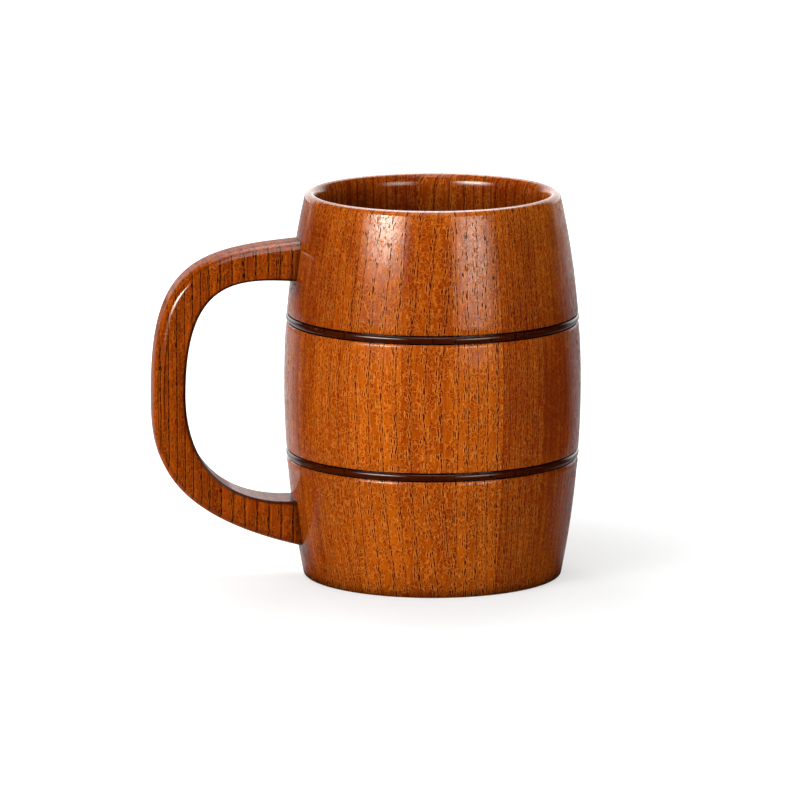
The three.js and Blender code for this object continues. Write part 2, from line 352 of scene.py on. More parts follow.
def stave_values(tone, pore_show, painted_light):
    """The tone, with painted light and shade, the darkening, with staining and painted shade, the open end
    grain and the pores of every point in the wall's section.
    """
    tones, open_grain = [], []
    for radius, height in WALL:
        bore = in_bore(radius, height)
        # Painted shade: the bore and the band above the upper hoop are toned deeper.
        deeper = UPPER_AND_BORE_SHADE if bore or height > HOOP_HEIGHTS[1] else 0.0
        worn = 0.0 if bore else RIM_PALER_TONE * max(0.0, 1 - (HEIGHT - height) / RIM_PALER_REACH)
        # Painted light: a stave with a last column above zero is made paler towards its top and foot.
        towards_end = max(height - BELLY_HEIGHT, LOWER_PAINTED_LIGHT * (BELLY_HEIGHT - height)) / BELLY_HEIGHT
        tones.append(tone - deeper + worn + painted_light * towards_end)
        open_grain.append(float(bore or height > LIP_FOOT))
    darkenings = [stave_stain_and_shade(*spot) for spot in WALL]
    return {"tone": tones, "stain_and_shade": darkenings, "open_grain": open_grain, "pore_show": [pore_show] * len(WALL)}


print("points in the bore:", sum(in_bore(*spot) for spot in WALL))

# %% [markdown]
# ## The staves
# Each stave is the wall's section swept through one eighteenth of a turn less a hair at each side, which
# leaves the thin dark glue line that the real seams show. They stay separate pieces, as the cooper made
# them, and each stands for its own solid.

# %% Sweep the staves
STAVE_COLUMNS = 14
GLUE_LINE = 0.05 * MM
BOARD_STEP = 211.0
ARM_UNDERSIDES = (100.5 * MM, 11.4 * MM)
UNDER_ARM_SHADOW = 0.8
UNDER_ARM_REACH = 8.0 * MM
ARM_HALF = 8.0 * MM


def under_arm_shadow(point):
    """Painted shadow in the corner under each arm of the handle."""
    x, y, z = point
    below = min((under - z if under > z else HEIGHT) for under in ARM_UNDERSIDES)
    away = hypot(below, max(0.0, abs(y) - ARM_HALF))
    return UNDER_ARM_SHADOW * max(0.0, 1 - away / UNDER_ARM_REACH) if x < 0 else 0.0


def make_stave(index):
    middle = HANDLE_ANGLE + index * STAVE_PITCH
    lean, spacing, tone, pore_show, painted_light = stave_cuts[index]
    heart = (HEART_DISTANCE * cos(radians(lean)),
             BOARD_MIDDLE + HEART_DISTANCE * sin(radians(lean)), spacing)
    points, boards = [], []
    for share in spread(-0.5, 0.5, STAVE_COLUMNS):
        for radius, height in WALL:
            turn = share * (STAVE_PITCH - GLUE_LINE / radius)
            points.append((radius * cos(middle + turn), radius * sin(middle + turn), height))
            boards.append((radius * sin(turn) / MM, radius * cos(turn) / MM,
                           height / MM + BOARD_STEP * index))
    columns = STAVE_COLUMNS + 1
    values = {label: given * columns for label, given in stave_values(tone, pore_show, painted_light).items()}
    inside = [in_bore(*spot) for spot in WALL] * columns
    values["stain_and_shade"] = [stain_and_shade if bore else max(stain_and_shade, under_arm_shadow(point))
                       for stain_and_shade, point, bore in zip(values["stain_and_shade"], points, inside)]
    faces = swept_faces(len(WALL), STAVE_COLUMNS)
    return make_piece(f"stave_piece_{index + 1:02d}", points, faces, boards, heart, values)


staves = [make_stave(index) for index in range(len(STAVE_NAMES))]
print("staves made:", len(staves), "faces in each:", len(staves[0].data.polygons))

# %% [markdown]
# ## The bottom
# The bottom is a turned disc. A tongue round its edge sits in the groove of the staves, which is what
# keeps it from falling out. Its section is carried all the way round, and one flat face closes it above
# and one below. Its tree stood well to one side, so its rings cross the disc as plain straight lines.

# %% Turn the bottom
HEAD_COLUMNS = 108
PLUG_RADIUS = FLOOR_BORE_RADIUS - SEAT_GAP
TONGUE_RADIUS = CROZE_RADIUS - SEAT_GAP
HEAD_EDGE = 0.4 * MM
HEAD_TREE = (150.0, -60.0, 3.0)
HEAD_TONE = 0.45


def make_bottom():
    rings = [
        (PLUG_RADIUS - HEAD_EDGE, 0.0), (PLUG_RADIUS, HEAD_EDGE), (PLUG_RADIUS, TONGUE_LOW),
        (TONGUE_RADIUS, TONGUE_LOW), (TONGUE_RADIUS, TONGUE_HIGH), (PLUG_RADIUS, TONGUE_HIGH),
        (PLUG_RADIUS, HEAD_THICKNESS - HEAD_EDGE), (PLUG_RADIUS - HEAD_EDGE, HEAD_THICKNESS),
    ]
    points = []
    for column in range(HEAD_COLUMNS):
        turn = 2 * pi * column / HEAD_COLUMNS
        points += [(r * cos(turn), r * sin(turn), h) for r, h in rings]
    count = len(rings)
    faces = []
    for column in range(HEAD_COLUMNS):
        here, there = column * count, (column + 1) % HEAD_COLUMNS * count
        faces += [(here + i, there + i, there + i + 1, here + i + 1) for i in range(count - 1)]
    faces.append(tuple(column * count for column in range(HEAD_COLUMNS))[::-1])
    faces.append(tuple(column * count + count - 1 for column in range(HEAD_COLUMNS)))
    boards = [(x / MM, z / MM, y / MM) for x, y, z in points]
    return make_piece("bottom_piece", points, faces, boards, HEAD_TREE, {"tone": HEAD_TONE, "pore_show": 1.0})


bottom = make_bottom()
print("bottom faces:", len(bottom.data.polygons))

# %% [markdown]
# ## The hoops
# Each hoop is a thin dark strip with a half-round face, bent round in its groove with its two ends
# meeting behind the handle. It is a swept section again, this time nearly all the way round.

# %% Sweep the hoops
HOOP_COLUMNS = 180
HOOP_PROUD = 0.2 * MM
HOOP_CROWN = 0.55 * MM
HOOP_FULLNESS = 0.96
HOOP_SEAT = 0.2 * MM
HOOP_JOINT = 0.3 * MM
HOOP_STEPS = 10
HOOP_TREE = (0.0, 300.0, 1.6)
HOOP_TONE = 0.3


def make_hoop(name, height):
    inner = barrel_radius(height) - GROOVE_DEPTH + HOOP_SEAT
    crown = barrel_radius(height) + HOOP_PROUD
    half = HOOP_WIDTH / 2
    face = [(crown - HOOP_CROWN * (1 - sqrt(1 - HOOP_FULLNESS * s * s)), height + half * s)
            for s in spread(-1, 1, HOOP_STEPS)]
    section = [(inner, height - half), *face, (inner, height + half)]
    open_turn = HOOP_JOINT / crown
    points, boards = [], []
    for along in spread(open_turn / 2, 2 * pi - open_turn / 2, HOOP_COLUMNS):
        turn = HANDLE_ANGLE + along
        for radius, level in section:
            points.append((radius * cos(turn), radius * sin(turn), level))
            boards.append(((level - height) / MM, radius / MM, along * crown / MM))
    faces = swept_faces(len(section), HOOP_COLUMNS)
    return make_piece(name, points, faces, boards, HOOP_TREE, {"tone": HOOP_TONE, "pore_show": 1.0})


hoops = {
    "hoop_lower": make_hoop("hoop_piece_lower", HOOP_HEIGHTS[0]),
    "hoop_upper": make_hoop("hoop_piece_upper", HOOP_HEIGHTS[1]),
}
print("hoops made:", list(hoops))

# %% [markdown]
# ## The handle
# The handle is one sawn board with softened edges. Its outer and inner edges are four smooth curves that
# meet upright at the middle of the grip. Each is given as its arm's height at the barrel, its reach at
# the grip, the run and rise with which it leaves the barrel, and the pull that keeps it upright at the grip.

# %% The edges of the handle
HANDLE_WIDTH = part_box("handle")[1].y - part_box("handle")[0].y
GRIP_OUTER = -cad_low.x
GRIP_INNER = GRIP_OUTER - 10.5 * MM
GRIP_HEIGHT = 63.0 * MM
UPPER_OUTER = (113.8 * MM, GRIP_OUTER, 0.707, 0.055, 0.861)
UPPER_INNER = (100.3 * MM, GRIP_INNER, 0.500, -0.030, 1.155)
LOWER_OUTER = (10.3 * MM, GRIP_OUTER, 1.033, 0.239, 0.313)
LOWER_INNER = (26.8 * MM, GRIP_INNER, 0.846, -0.077, 0.428)


def edge_point(edge, t):
    """A point on one edge, as distance from the axis and height; t is 0 at the barrel, 1 at the grip."""
    arm, grip, run, rise, pull = edge
    climb = GRIP_HEIGHT - arm
    start = Vector((RIM_RADIUS, arm))
    first = Vector((RIM_RADIUS + run * (grip - RIM_RADIUS), arm + rise * climb))
    second = Vector((grip, GRIP_HEIGHT - pull * climb))
    end = Vector((grip, GRIP_HEIGHT))
    u = 1 - t
    return u * u * u * start + 3 * u * u * t * first + 3 * u * t * t * second + t * t * t * end


def handle_edges(s):
    """The outer and inner edge at s: 0 at the upper joint, 1 at the grip, 2 at the lower joint."""
    if s <= 1:
        return edge_point(UPPER_OUTER, s), edge_point(UPPER_INNER, s)
    return edge_point(LOWER_OUTER, 2 - s), edge_point(LOWER_INNER, 2 - s)


print("handle reach in mm:", round(GRIP_OUTER / MM, 2), "width in mm:", round(HANDLE_WIDTH / MM, 2))

# %% [markdown]
# In section the handle is flat-sided. Its outer face is broadly rounded and meets each side in a shallow
# crease, beside which the side's own edge is rounded over and catches the light. Its inner edges are
# only broken with a small round. The colour values go with the section: painted shade darkens the inner
# edges and the crease, the outer face is painted paler as if lit from the left, and its lacquer is worn thin.

# %% The rounded section of the handle
OUTER_ROUND_ACROSS = 3.9 * MM
OUTER_ROUND_DEEP = 2.2 * MM
OUTER_END = radians(65)
FACE_ROUND = 2.5 * MM
FACE_START = radians(30)
CREASE = HANDLE_WIDTH / 2 - FACE_ROUND * (1 - sin(FACE_START))
CREASE_DEEP = OUTER_ROUND_DEEP * (1 - cos(OUTER_END))
INNER_ROUND = 0.8 * MM
FACE_STEPS = 6
OUTER_STEPS = 8
OUTER_SHARES = (-1.0, -0.5, 0.0, 0.5, 1.0)
FACE_SHARES = (0.70, 0.45, 0.25)
EDGE_FADE = 0.35 * MM
CREASE_SHADE = 0.35
INNER_EDGE_SHADE = 0.85


def handle_section():
    """Points of the section: share from inner to outer edge, offset from there, across, and painted shade."""
    half = HANDLE_WIDTH / 2
    level = CREASE - OUTER_ROUND_ACROSS * sin(OUTER_END)
    outer = [(1.0, 0.0, level * share, 0.0) for share in OUTER_SHARES]
    back = [(1.0, -OUTER_ROUND_DEEP * (1 - cos(a)), level + OUTER_ROUND_ACROSS * sin(a), 0.0)
            for a in spread(0, OUTER_END, OUTER_STEPS)[1:-1]]
    back.append((1.0, -CREASE_DEEP, CREASE, CREASE_SHADE))
    from_crease = CREASE_DEEP + FACE_ROUND * cos(FACE_START)
    back += [(1.0, FACE_ROUND * cos(a) - from_crease, half - FACE_ROUND * (1 - sin(a)), 0.0)
             for a in spread(FACE_START, QUARTER, FACE_STEPS)[1:]]
    back += [(share, 0.0, half, 0.0) for share in FACE_SHARES]
    back.append((0.0, INNER_ROUND + EDGE_FADE, half, 0.0))
    back += [(0.0, INNER_ROUND * (1 - sin(a)), half - INNER_ROUND * (1 - cos(a)), INNER_EDGE_SHADE)
             for a in spread(0, QUARTER, ROUND_STEPS)]
    back.append((0.0, 0.0, half - INNER_ROUND - EDGE_FADE, 0.0))
    front = [(share, offset, -across, stain_and_shade) for share, offset, across, stain_and_shade in back[::-1]]
    return [*outer, *back, *front]


SECTION = handle_section()


def section_point(corner, s):
    share, offset, across = corner[:3]
    outer, inner = handle_edges(s)
    through = (outer - inner).normalized()
    spot = inner + (outer - inner) * share + through * offset
    return Vector((-spot.x, across, spot.y))


print("points in the handle's section:", len(SECTION))

# %% [markdown]
# The board of the handle stands upright, so its rings show as lines down the grip and as bars across the
# two arms. They lie close together at the outer edge and wider towards the barrel, as the photograph
# shows, and that is done by stretching the board's coordinates at the outer edge.

# %% The board of the handle, and its painted light and shade
HANDLE_TREE = (10.0, 240.0, 4.0)
HANDLE_TONE = 0.43
# Painted light: the outer face is toned much paler, as if strongly lit from the left.
OUTER_FACE_LIT_TONE = 0.90
OUTER_PORES = 0.15
INNER_PORES = 0.29
CLOSE_RINGS_FROM = -75.0
CLOSE_RINGS = 1.5
JOINT_SHADE = 0.75
JOINT_SHADE_REACH = 2.8 * MM


def handle_board(point):
    through = point.x / MM
    if through < CLOSE_RINGS_FROM:
        through = CLOSE_RINGS_FROM + (through - CLOSE_RINGS_FROM) * CLOSE_RINGS
    return point.y / MM, through, point.z / MM


def off_barrel(point):
    """How far a point is from the barrel's outside."""
    return hypot(point.x, point.y) - barrel_radius(point.z)


def joint_shade(point):
    """Painted shade darkens the last few millimetres beside the barrel."""
    return JOINT_SHADE * max(0.0, 1 - off_barrel(point) / JOINT_SHADE_REACH)


def corner_values(corner):
    """The tone and the pores of one line of the section: outer face, inner face or side."""
    if corner[0] == 1.0 and corner[1] > -CREASE_DEEP:
        return OUTER_FACE_LIT_TONE, OUTER_PORES
    return HANDLE_TONE, INNER_PORES if corner[0] == 0.0 else 1.0


print("rings in mm:", HANDLE_TREE[2])

# %% [markdown]
# The section is now carried along between the two edges. Each of its lines stops where it meets the
# barrel, found by halving, so the ends are hollowed to fit like the real ones.

# %% Carry the section along the handle
HANDLE_STEPS = 150
JOINT_GAP = 0.05 * MM
JOINT_SEARCH = 0.45
BISECTIONS = 40
END_SHARES = (0.7, 0.4, 0.12)


def joint_share(corner, inside, outside):
    """Where a line of the handle comes out of the barrel, found by halving."""
    for _ in range(BISECTIONS):
        middle = (inside + outside) / 2
        if off_barrel(section_point(corner, middle)) > JOINT_GAP:
            outside = middle
        else:
            inside = middle
    return outside


def end_rings(ring):
    """Shrinking rings on the barrel's surface that close an end of the handle."""
    middle = sum(ring, Vector()) / len(ring)
    rings = []
    for share in END_SHARES:
        loop = []
        for point in ring:
            spot = middle + (point - middle) * share
            reach = barrel_radius(spot.z) + JOINT_GAP
            loop.append(Vector((-sqrt(reach * reach - spot.y * spot.y), spot.y, spot.z)))
        rings.append(loop)
    return rings


def make_handle():
    starts = [joint_share(corner, 0.0, JOINT_SEARCH) for corner in SECTION]
    ends = [joint_share(corner, 2.0, 2.0 - JOINT_SEARCH) for corner in SECTION]
    rings = [[section_point(c, a + (b - a) * t) for c, a, b in zip(SECTION, starts, ends)]
             for t in spread(0.0, 1.0, HANDLE_STEPS)]
    rings = [*end_rings(rings[0])[::-1], *rings, *end_rings(rings[-1])]
    points = [point for ring in rings for point in ring]
    faces = swept_faces(len(SECTION), len(rings) - 1)
    boards = [handle_board(point) for point in points]
    edge_shades = [corner[3] for corner in SECTION] * len(rings)
    darkenings = [max(edge, joint_shade(point)) for edge, point in zip(edge_shades, points)]
    tones, shows = zip(*[corner_values(corner) for corner in SECTION])
    values = {"tone": list(tones) * len(rings), "stain_and_shade": darkenings, "pore_show": list(shows) * len(rings)}
    return make_piece("handle_piece", points, faces, boards, HANDLE_TREE, values)


handle = make_handle()
print("handle faces:", len(handle.data.polygons))

# %% [markdown]
# ## Wiring nodes in plain steps
# Every finish below is a small network of shader nodes. These helpers add a node, set its inputs to
# numbers or to other nodes' outputs, and start a node group with named sockets.

# %% Helpers for shader nodes
class Bench:
    """Adds nodes to one node tree and joins them."""

    def __init__(self, tree):
        self.tree = tree

    def add(self, kind, inputs=None, **settings):
        node = self.tree.nodes.new(kind)
        for key, value in settings.items():
            setattr(node, key, value)
        for key, value in (inputs or {}).items():
            self.plug(value, node.inputs[key])
        return node

    def plug(self, value, socket):
        if isinstance(value, bpy.types.NodeSocket):
            self.tree.links.new(value, socket)
        else:
            socket.default_value = value

    def math(self, operation, *values, clamp=False):
        node = self.add("ShaderNodeMath", operation=operation, use_clamp=clamp)
        for value, socket in zip(values, node.inputs):
            self.plug(value, socket)
        return node.outputs[0]

    def times(self, first, second):
        return self.math("MULTIPLY", first, second)

    def plus(self, value, weight, base):
        """The value times its weight, added to the base."""
        return self.math("MULTIPLY_ADD", value, weight, base)

    def weighted(self, base, weights, values):
        """The base plus each named value times its weight."""
        for label, weight in weights.items():
            base = self.plus(values[label], weight, base)
        return base

    def apart(self, first, second):
        """How far apart two values are."""
        return self.math("ABSOLUTE", self.math("SUBTRACT", first, second))

    def hypot(self, first, second):
        return self.math("SQRT", self.math("ADD", self.times(first, first), self.times(second, second)))

    def vector(self, operation, first, second):
        return self.add("ShaderNodeVectorMath", {0: first, 1: second}, operation=operation).outputs[0]

    def dot(self, first, second):
        node = self.add("ShaderNodeVectorMath", {0: first, 1: second}, operation="DOT_PRODUCT")
        return node.outputs["Value"]

    def ease(self, value, low, high, start=0.0, end=1.0):
        """A smooth step of value from low to high."""
        places = {"Value": value, "From Min": low, "From Max": high, "To Min": start, "To Max": end}
        return self.add("ShaderNodeMapRange", places, interpolation_type="SMOOTHSTEP").outputs[0]

    def blend(self, share, first, second):
        node = self.add("ShaderNodeMix", data_type="RGBA", clamp_factor=True)
        for value, place in ((share, 0), (first, 6), (second, 7)):
            self.plug(value, node.inputs[place])
        return node.outputs[2]

    def noise(self, vector, scale, detail):
        return self.add("ShaderNodeTexNoise", {"Vector": vector, "Scale": scale, "Detail": detail}).outputs

    def split(self, vector):
        return self.add("ShaderNodeSeparateXYZ", {"Vector": vector}).outputs

    def join(self, x, y, z):
        return self.add("ShaderNodeCombineXYZ", {"X": x, "Y": y, "Z": z}).outputs[0]

    def group(self, tree, values):
        return self.add("ShaderNodeGroup", values, node_tree=tree).outputs


def new_group(name, inputs, outputs):
    """A shader node group on the board's coordinates; inputs have defaults, outputs only names."""
    inputs = {"Board": (0.0, 0.0, 0.0), **inputs}
    tree = bpy.data.node_groups.new(name, "ShaderNodeTree")
    kinds = {True: "NodeSocketVector", False: "NodeSocketFloat"}
    for label, default in inputs.items():
        kind = kinds[isinstance(default, tuple)]
        socket = tree.interface.new_socket(label, in_out="INPUT", socket_type=kind)
        socket.default_value = default
    for label in outputs:
        tree.interface.new_socket(label, in_out="OUTPUT", socket_type="NodeSocketFloat")
    bench = Bench(tree)
    return bench, bench.add("NodeGroupInput").outputs, bench.add("NodeGroupOutput").inputs


def cleared_bench(owner):
    """A bench on the emptied nodes of a material, a lamp or the world."""
    owner.use_nodes = True
    owner.node_tree.nodes.clear()
    return Bench(owner.node_tree)


def along_grain(bench, given):
    """The board's coordinates, shrunk by a width across the grain and by a length along it."""
    return bench.vector("DIVIDE", given["Board"], bench.join(given["Width"], given["Width"], given["Length"]))


print("node helpers ready")

# %% [markdown]
# ## The wood's figure, in groups
# The wood is ring-porous: each year starts with a row of wide pores and ends in dense wood. One group
# finds the rings and sets rows of pores at the start of each, one scatters pores as dashes along the
# grain, and one makes streaks of any size. Two more belong to the lacquer: fine lines that curl where it
# has wrinkled, and slow waves. All work in the board's millimetres, so each wood uses them with its own
# values.

# %% Group: year rings
ROW_PLACES = (0.35, 0.95, 1.7)
ROW_KEPT = (0.95, 0.60, 0.40)
RING_WAVE = (0.06, 0.06, 0.014)
EARLY_WOOD = (0.5, 0.1)
SEAM_FADE = (0.38, 0.10)
EDGE_PLACE = 0.65
EDGE_FADE_OUT = (0.3, 0.0)
RING_SHIFT = 97.0
ROW_SHIFT = 31.7
HALF_LENGTH = (0.24, 0.22)
ROW_SWAY = 0.5
PORE_FADE = (1.2, 0.5)
RIM_ASIDE = (2.6, 1.3)
RIM_ENDS = (1.1, 0.8)


def make_ring_group():
    inputs = {"Tree": (100.0, 0.0, 3.0), "Wobble": 2.0, "Pore width": 0.26, "Pore length": 3.2,
              "Later rows": 1.0}
    bench, given, made = new_group("year_rings", inputs, ["Early wood", "Pores", "Rim", "Seam", "Edge"])
    across, through, along = bench.split(given["Board"])
    heart_across, heart_through, spacing = bench.split(given["Tree"])
    wave = bench.noise(bench.vector("MULTIPLY", given["Board"], RING_WAVE), 1.0, 2.0)[0]
    wave = bench.times(bench.math("SUBTRACT", wave, 0.5), given["Wobble"])
    side = bench.math("SUBTRACT", across, heart_across)
    depth = bench.math("SUBTRACT", through, heart_through)
    year = bench.math("DIVIDE", bench.math("ADD", bench.hypot(side, depth), wave), spacing)
    share = bench.math("FRACT", year)
    bench.plug(bench.ease(share, *EARLY_WOOD), made["Early wood"])
    whole = bench.math("FLOOR", year)
    luck = bench.add("ShaderNodeTexWhiteNoise", {"W": whole}, noise_dimensions="1D").outputs[0]
    from_start = bench.times(share, spacing)
    past = bench.apart(from_start, ROW_PLACES[0])
    ahead = bench.math("SUBTRACT", bench.math("ADD", spacing, ROW_PLACES[0]), from_start)
    off_row = bench.math("MINIMUM", past, ahead)
    bench.plug(bench.ease(off_row, *SEAM_FADE), made["Seam"])
    bench.plug(bench.ease(bench.apart(off_row, EDGE_PLACE), *EDGE_FADE_OUT), made["Edge"])
    pores, rims = 0.0, 0.0
    for row, (middle, kept) in enumerate(zip(ROW_PLACES, ROW_KEPT)):
        step = bench.math("DIVIDE", along, given["Pore length"])
        step = bench.math("ADD", step, bench.plus(luck, RING_SHIFT, ROW_SHIFT * row))
        cells = bench.add("ShaderNodeTexVoronoi", {"W": step, "Scale": 1.0, "Randomness": 1.0},
                          voronoi_dimensions="1D")
        first, second, third = bench.split(cells.outputs["Color"])
        size = bench.plus(first, *HALF_LENGTH)
        sway = bench.plus(second, ROW_SWAY, middle - ROW_SWAY / 2)
        aside = bench.math("DIVIDE", bench.math("SUBTRACT", from_start, sway), given["Pore width"])
        lengthwise = bench.math("DIVIDE", cells.outputs["Distance"], size)
        chosen = bench.math("LESS_THAN", third, bench.times(given["Later rows"], kept) if row else kept)
        pore = bench.times(bench.ease(bench.hypot(aside, lengthwise), *PORE_FADE), chosen)
        beside = bench.ease(bench.math("ABSOLUTE", aside), *RIM_ASIDE)
        rim = bench.times(bench.times(beside, bench.ease(lengthwise, *RIM_ENDS)), chosen)
        pores = bench.math("MAXIMUM", pores, pore)
        rims = bench.math("MAXIMUM", rims, rim)
    bench.plug(pores, made["Pores"])
    bench.plug(bench.math("SUBTRACT", rims, pores, clamp=True), made["Rim"])
    return bench.tree


YEAR_RINGS = make_ring_group()

# %% Group: pores
SIZE_SPREAD = (0.7, 0.65)
DASH_CORE = 0.6
DASH_RIM = (1.9, 1.15)
DASH_END = 0.8


def make_pore_group():
    inputs = {"Width": 0.9, "Length": 5.0, "Size": 0.27, "Share": 0.7}
    bench, given, made = new_group("pore_dashes", inputs, ["Pores", "Rim"])
    place = along_grain(bench, given)
    cells = bench.add("ShaderNodeTexVoronoi", {"Vector": place, "Scale": 1.0, "Randomness": 1.0}).outputs
    from_side, from_face, from_end = bench.split(bench.vector("SUBTRACT", place, cells["Position"]))
    luck, more_luck, _ = bench.split(cells["Color"])
    kept = bench.math("LESS_THAN", luck, given["Share"])
    size = bench.times(given["Size"], bench.plus(more_luck, *SIZE_SPREAD))
    dash = bench.ease(cells["Distance"], size, bench.times(size, DASH_CORE))
    rim = bench.ease(bench.hypot(from_side, from_face), *[bench.times(size, reach) for reach in DASH_RIM])
    within = bench.ease(bench.math("ABSOLUTE", from_end), size, bench.times(size, DASH_END))
    rim = bench.math("SUBTRACT", bench.times(rim, within), dash, clamp=True)
    bench.plug(bench.times(dash, kept), made["Pores"])
    bench.plug(bench.times(rim, kept), made["Rim"])
    return bench.tree


PORE_DASHES = make_pore_group()

# %% Group: streaks along the grain
STREAK_SPAN = (0.28, 0.72)


def make_streak_group():
    inputs = {"Width": 0.5, "Length": 6.0, "Detail": 2.0}
    bench, given, made = new_group("grain_streaks", inputs, ["Streak"])
    noise = bench.noise(along_grain(bench, given), 1.0, given["Detail"])
    bench.plug(bench.ease(noise[0], *STREAK_SPAN), made["Streak"])
    return bench.tree


GRAIN_STREAKS = make_streak_group()

# %% Group: curling lines in the lacquer
DRIFT_SCALE = 0.9
GAP_SCALE = 0.6
GAP_FADE = (0.36, 0.52)
LINE_FADE = (0.11, 0.02)
RIDGE_FADE = (0.24, 0.0)
BESIDE_PLACE = 0.21


def make_curl_group():
    inputs = {"Width": 1.7, "Length": 2.6, "Warp": 0.9}
    bench, given, made = new_group("curling_lines", inputs, ["Lines", "Ridge", "Beside"])
    place = along_grain(bench, given)
    drift = bench.vector("SUBTRACT", bench.noise(place, DRIFT_SCALE, 1.0)["Color"], (0.5, 0.5, 0.5))
    warp = bench.join(given["Warp"], given["Warp"], given["Warp"])
    bent = bench.vector("ADD", place, bench.vector("MULTIPLY", drift, warp))
    cells = bench.add("ShaderNodeTexVoronoi", {"Vector": bent, "Scale": 1.0, "Randomness": 1.0},
                      feature="DISTANCE_TO_EDGE").outputs["Distance"]
    kept = bench.ease(bench.noise(place, GAP_SCALE, 1.0)[0], *GAP_FADE)
    beside = bench.apart(cells, BESIDE_PLACE)
    for label, away, fade in (("Lines", cells, LINE_FADE), ("Ridge", cells, RIDGE_FADE),
                              ("Beside", beside, LINE_FADE)):
        bench.plug(bench.times(bench.ease(away, *fade), kept), made[label])
    return bench.tree


CURLING_LINES = make_curl_group()

# %% Group: slow waves in the lacquer
RIPPLE_PLACE = (0.45, 0.45, 0.75)


def make_wave_group():
    bench, given, made = new_group("lacquer_waves", {}, ["Ripple"])
    close = bench.vector("MULTIPLY", given["Board"], RIPPLE_PLACE)
    bench.plug(bench.noise(close, 1.0, 1.0)[0], made["Ripple"])
    return bench.tree


LACQUER_WAVES = make_wave_group()
print("groups:", [g.name for g in bpy.data.node_groups])

# %% [markdown]
# ## One recipe for every wood
# Stain makes the wood's colour: a light and a deep tone blended by broad streaks and by the board's own
# tone, a darker band in each year's early wood and dark pores. Painted highlights lift the rims round the
# pores, the edges beside the ring lines and the lines where the lacquer has wrinkled, with painted shade
# beside those lines; last the darkening on each point is laid over. The clear lacquer is a smooth coat
# over it. The coat stays flat while the wood under it has relief, is broken by the pores and wrinkles,
# and is thinner where hands have worn it. The same recipe serves all the pieces with different colours
# and strengths.

# %% Read a point's board and draw its figure
RING_PORE = (0.22, 3.2)
STRAY_PORE = (0.85, 6.0, 0.19)
FIBRE = {"Width": 0.45, "Length": 7.0, "Detail": 2.0}
CLOUD = {"Width": 3.6, "Length": 50.0, "Detail": 2.0}
CURL = {"Width": 1.3, "Length": 2.0, "Warp": 1.3}
LIP_SMOOTHED = 0.9


def read_point(bench):
    """What was stored on each point: its board, its tree and its values."""
    at = {label: bench.add("ShaderNodeAttribute", attribute_name=label).outputs["Vector"]
          for label in ("board", "tree")}
    for label in POINT_VALUES:
        at[label] = bench.add("ShaderNodeAttribute", attribute_name=label).outputs["Fac"]
    at["smooth"] = bench.plus(at["open_grain"], -LIP_SMOOTHED, 1.0)
    return at


def draw_figure(bench, at, figure):
    """The masks of rings, pores, streaks, curling lines and waves at each point."""
    board, scale = {"Board": at["board"]}, figure["pore"]
    rings = bench.group(YEAR_RINGS, {
        **board, "Tree": at["tree"], "Wobble": figure["wobble"], "Later rows": figure["later_rows"],
        "Pore width": RING_PORE[0] * scale, "Pore length": RING_PORE[1] * scale})
    stray = bench.group(PORE_DASHES, {
        **board, "Width": STRAY_PORE[0] * scale, "Length": STRAY_PORE[1] * scale, "Size": STRAY_PORE[2],
        "Share": figure["stray"]})
    curl = bench.group(CURLING_LINES, {**board, **CURL})
    return {
        "early": rings["Early wood"], "seam": rings["Seam"], "edge": rings["Edge"],
        "lines": curl["Lines"], "ridge": curl["Ridge"], "beside": curl["Beside"],
        "pores": bench.times(bench.math("MAXIMUM", rings["Pores"], stray["Pores"]), at["pore_show"]),
        "rims": bench.times(bench.math("MAXIMUM", rings["Rim"], stray["Rim"]), at["pore_show"]),
        "fibre": bench.group(GRAIN_STREAKS, {**board, **FIBRE})["Streak"],
        "cloud": bench.group(GRAIN_STREAKS, {**board, **CLOUD})["Streak"],
        "ripple": bench.group(LACQUER_WAVES, board)["Ripple"],
    }


# %% Colour, relief and lacquer
WOOD_ROUGHNESS = 0.6
OPEN_SEAM = 0.45
PORE_STAIN = 0.90
# Near black: the colour of dark staining in the hoop grooves and of painted shade.
STAIN_AND_SHADE = (0.010, 0.0015, 0.0003, 1)
STREAK_DEPTHS = {"fibre": 0.35, "cloud": 0.5}
MIDDLE_TONE = 0.5
HIGHLIGHT_BY_TONE = (0.0, 0.6, 0.4, 1.0)
RELIEF = {"pores": -0.22, "ridge": 0.20, "fibre": 0.04, "ripple": 0.10}


def stained_colour(bench, at, drawn, colours, figure):
    depth = bench.weighted(0.0, {**STREAK_DEPTHS, "early": figure["band"]}, drawn)
    depth = bench.math("ADD", depth, bench.math("SUBTRACT", MIDDLE_TONE, at["tone"]), clamp=True)
    colour = bench.blend(depth, colours["light"], colours["deep"])
    # Painted shade: the wood beside each wrinkle line is darkened towards the deep tone.
    colour = bench.blend(bench.times(drawn["beside"], figure["groove"]), colour, colours["deep"])
    # Painted highlights: the edges beside the ring lines, the wrinkle lines and the rims round the pores are
    # lifted towards the glint colour.
    painted_highlight = bench.times(bench.times(drawn["edge"], at["pore_show"]), figure["edge"])
    for mask, strength in (("lines", "curl"), ("rims", "rim")):
        painted_highlight = bench.math("MAXIMUM", painted_highlight, bench.times(drawn[mask], figure[strength]))
    painted_highlight = bench.times(painted_highlight, bench.ease(at["tone"], *HIGHLIGHT_BY_TONE))
    colour = bench.blend(painted_highlight, colour, colours["glint"])
    seam = bench.plus(at["open_grain"], OPEN_SEAM, bench.times(at["pore_show"], figure["seam"]))
    colour = bench.blend(bench.times(drawn["seam"], seam), colour, colours["pore"])
    colour = bench.blend(bench.times(drawn["pores"], PORE_STAIN), colour, colours["pore"])
    # The darkening on each point blends towards near black: dark staining with painted shade in the hoop
    # grooves, painted shade everywhere else.
    return bench.blend(at["stain_and_shade"], colour, STAIN_AND_SHADE)


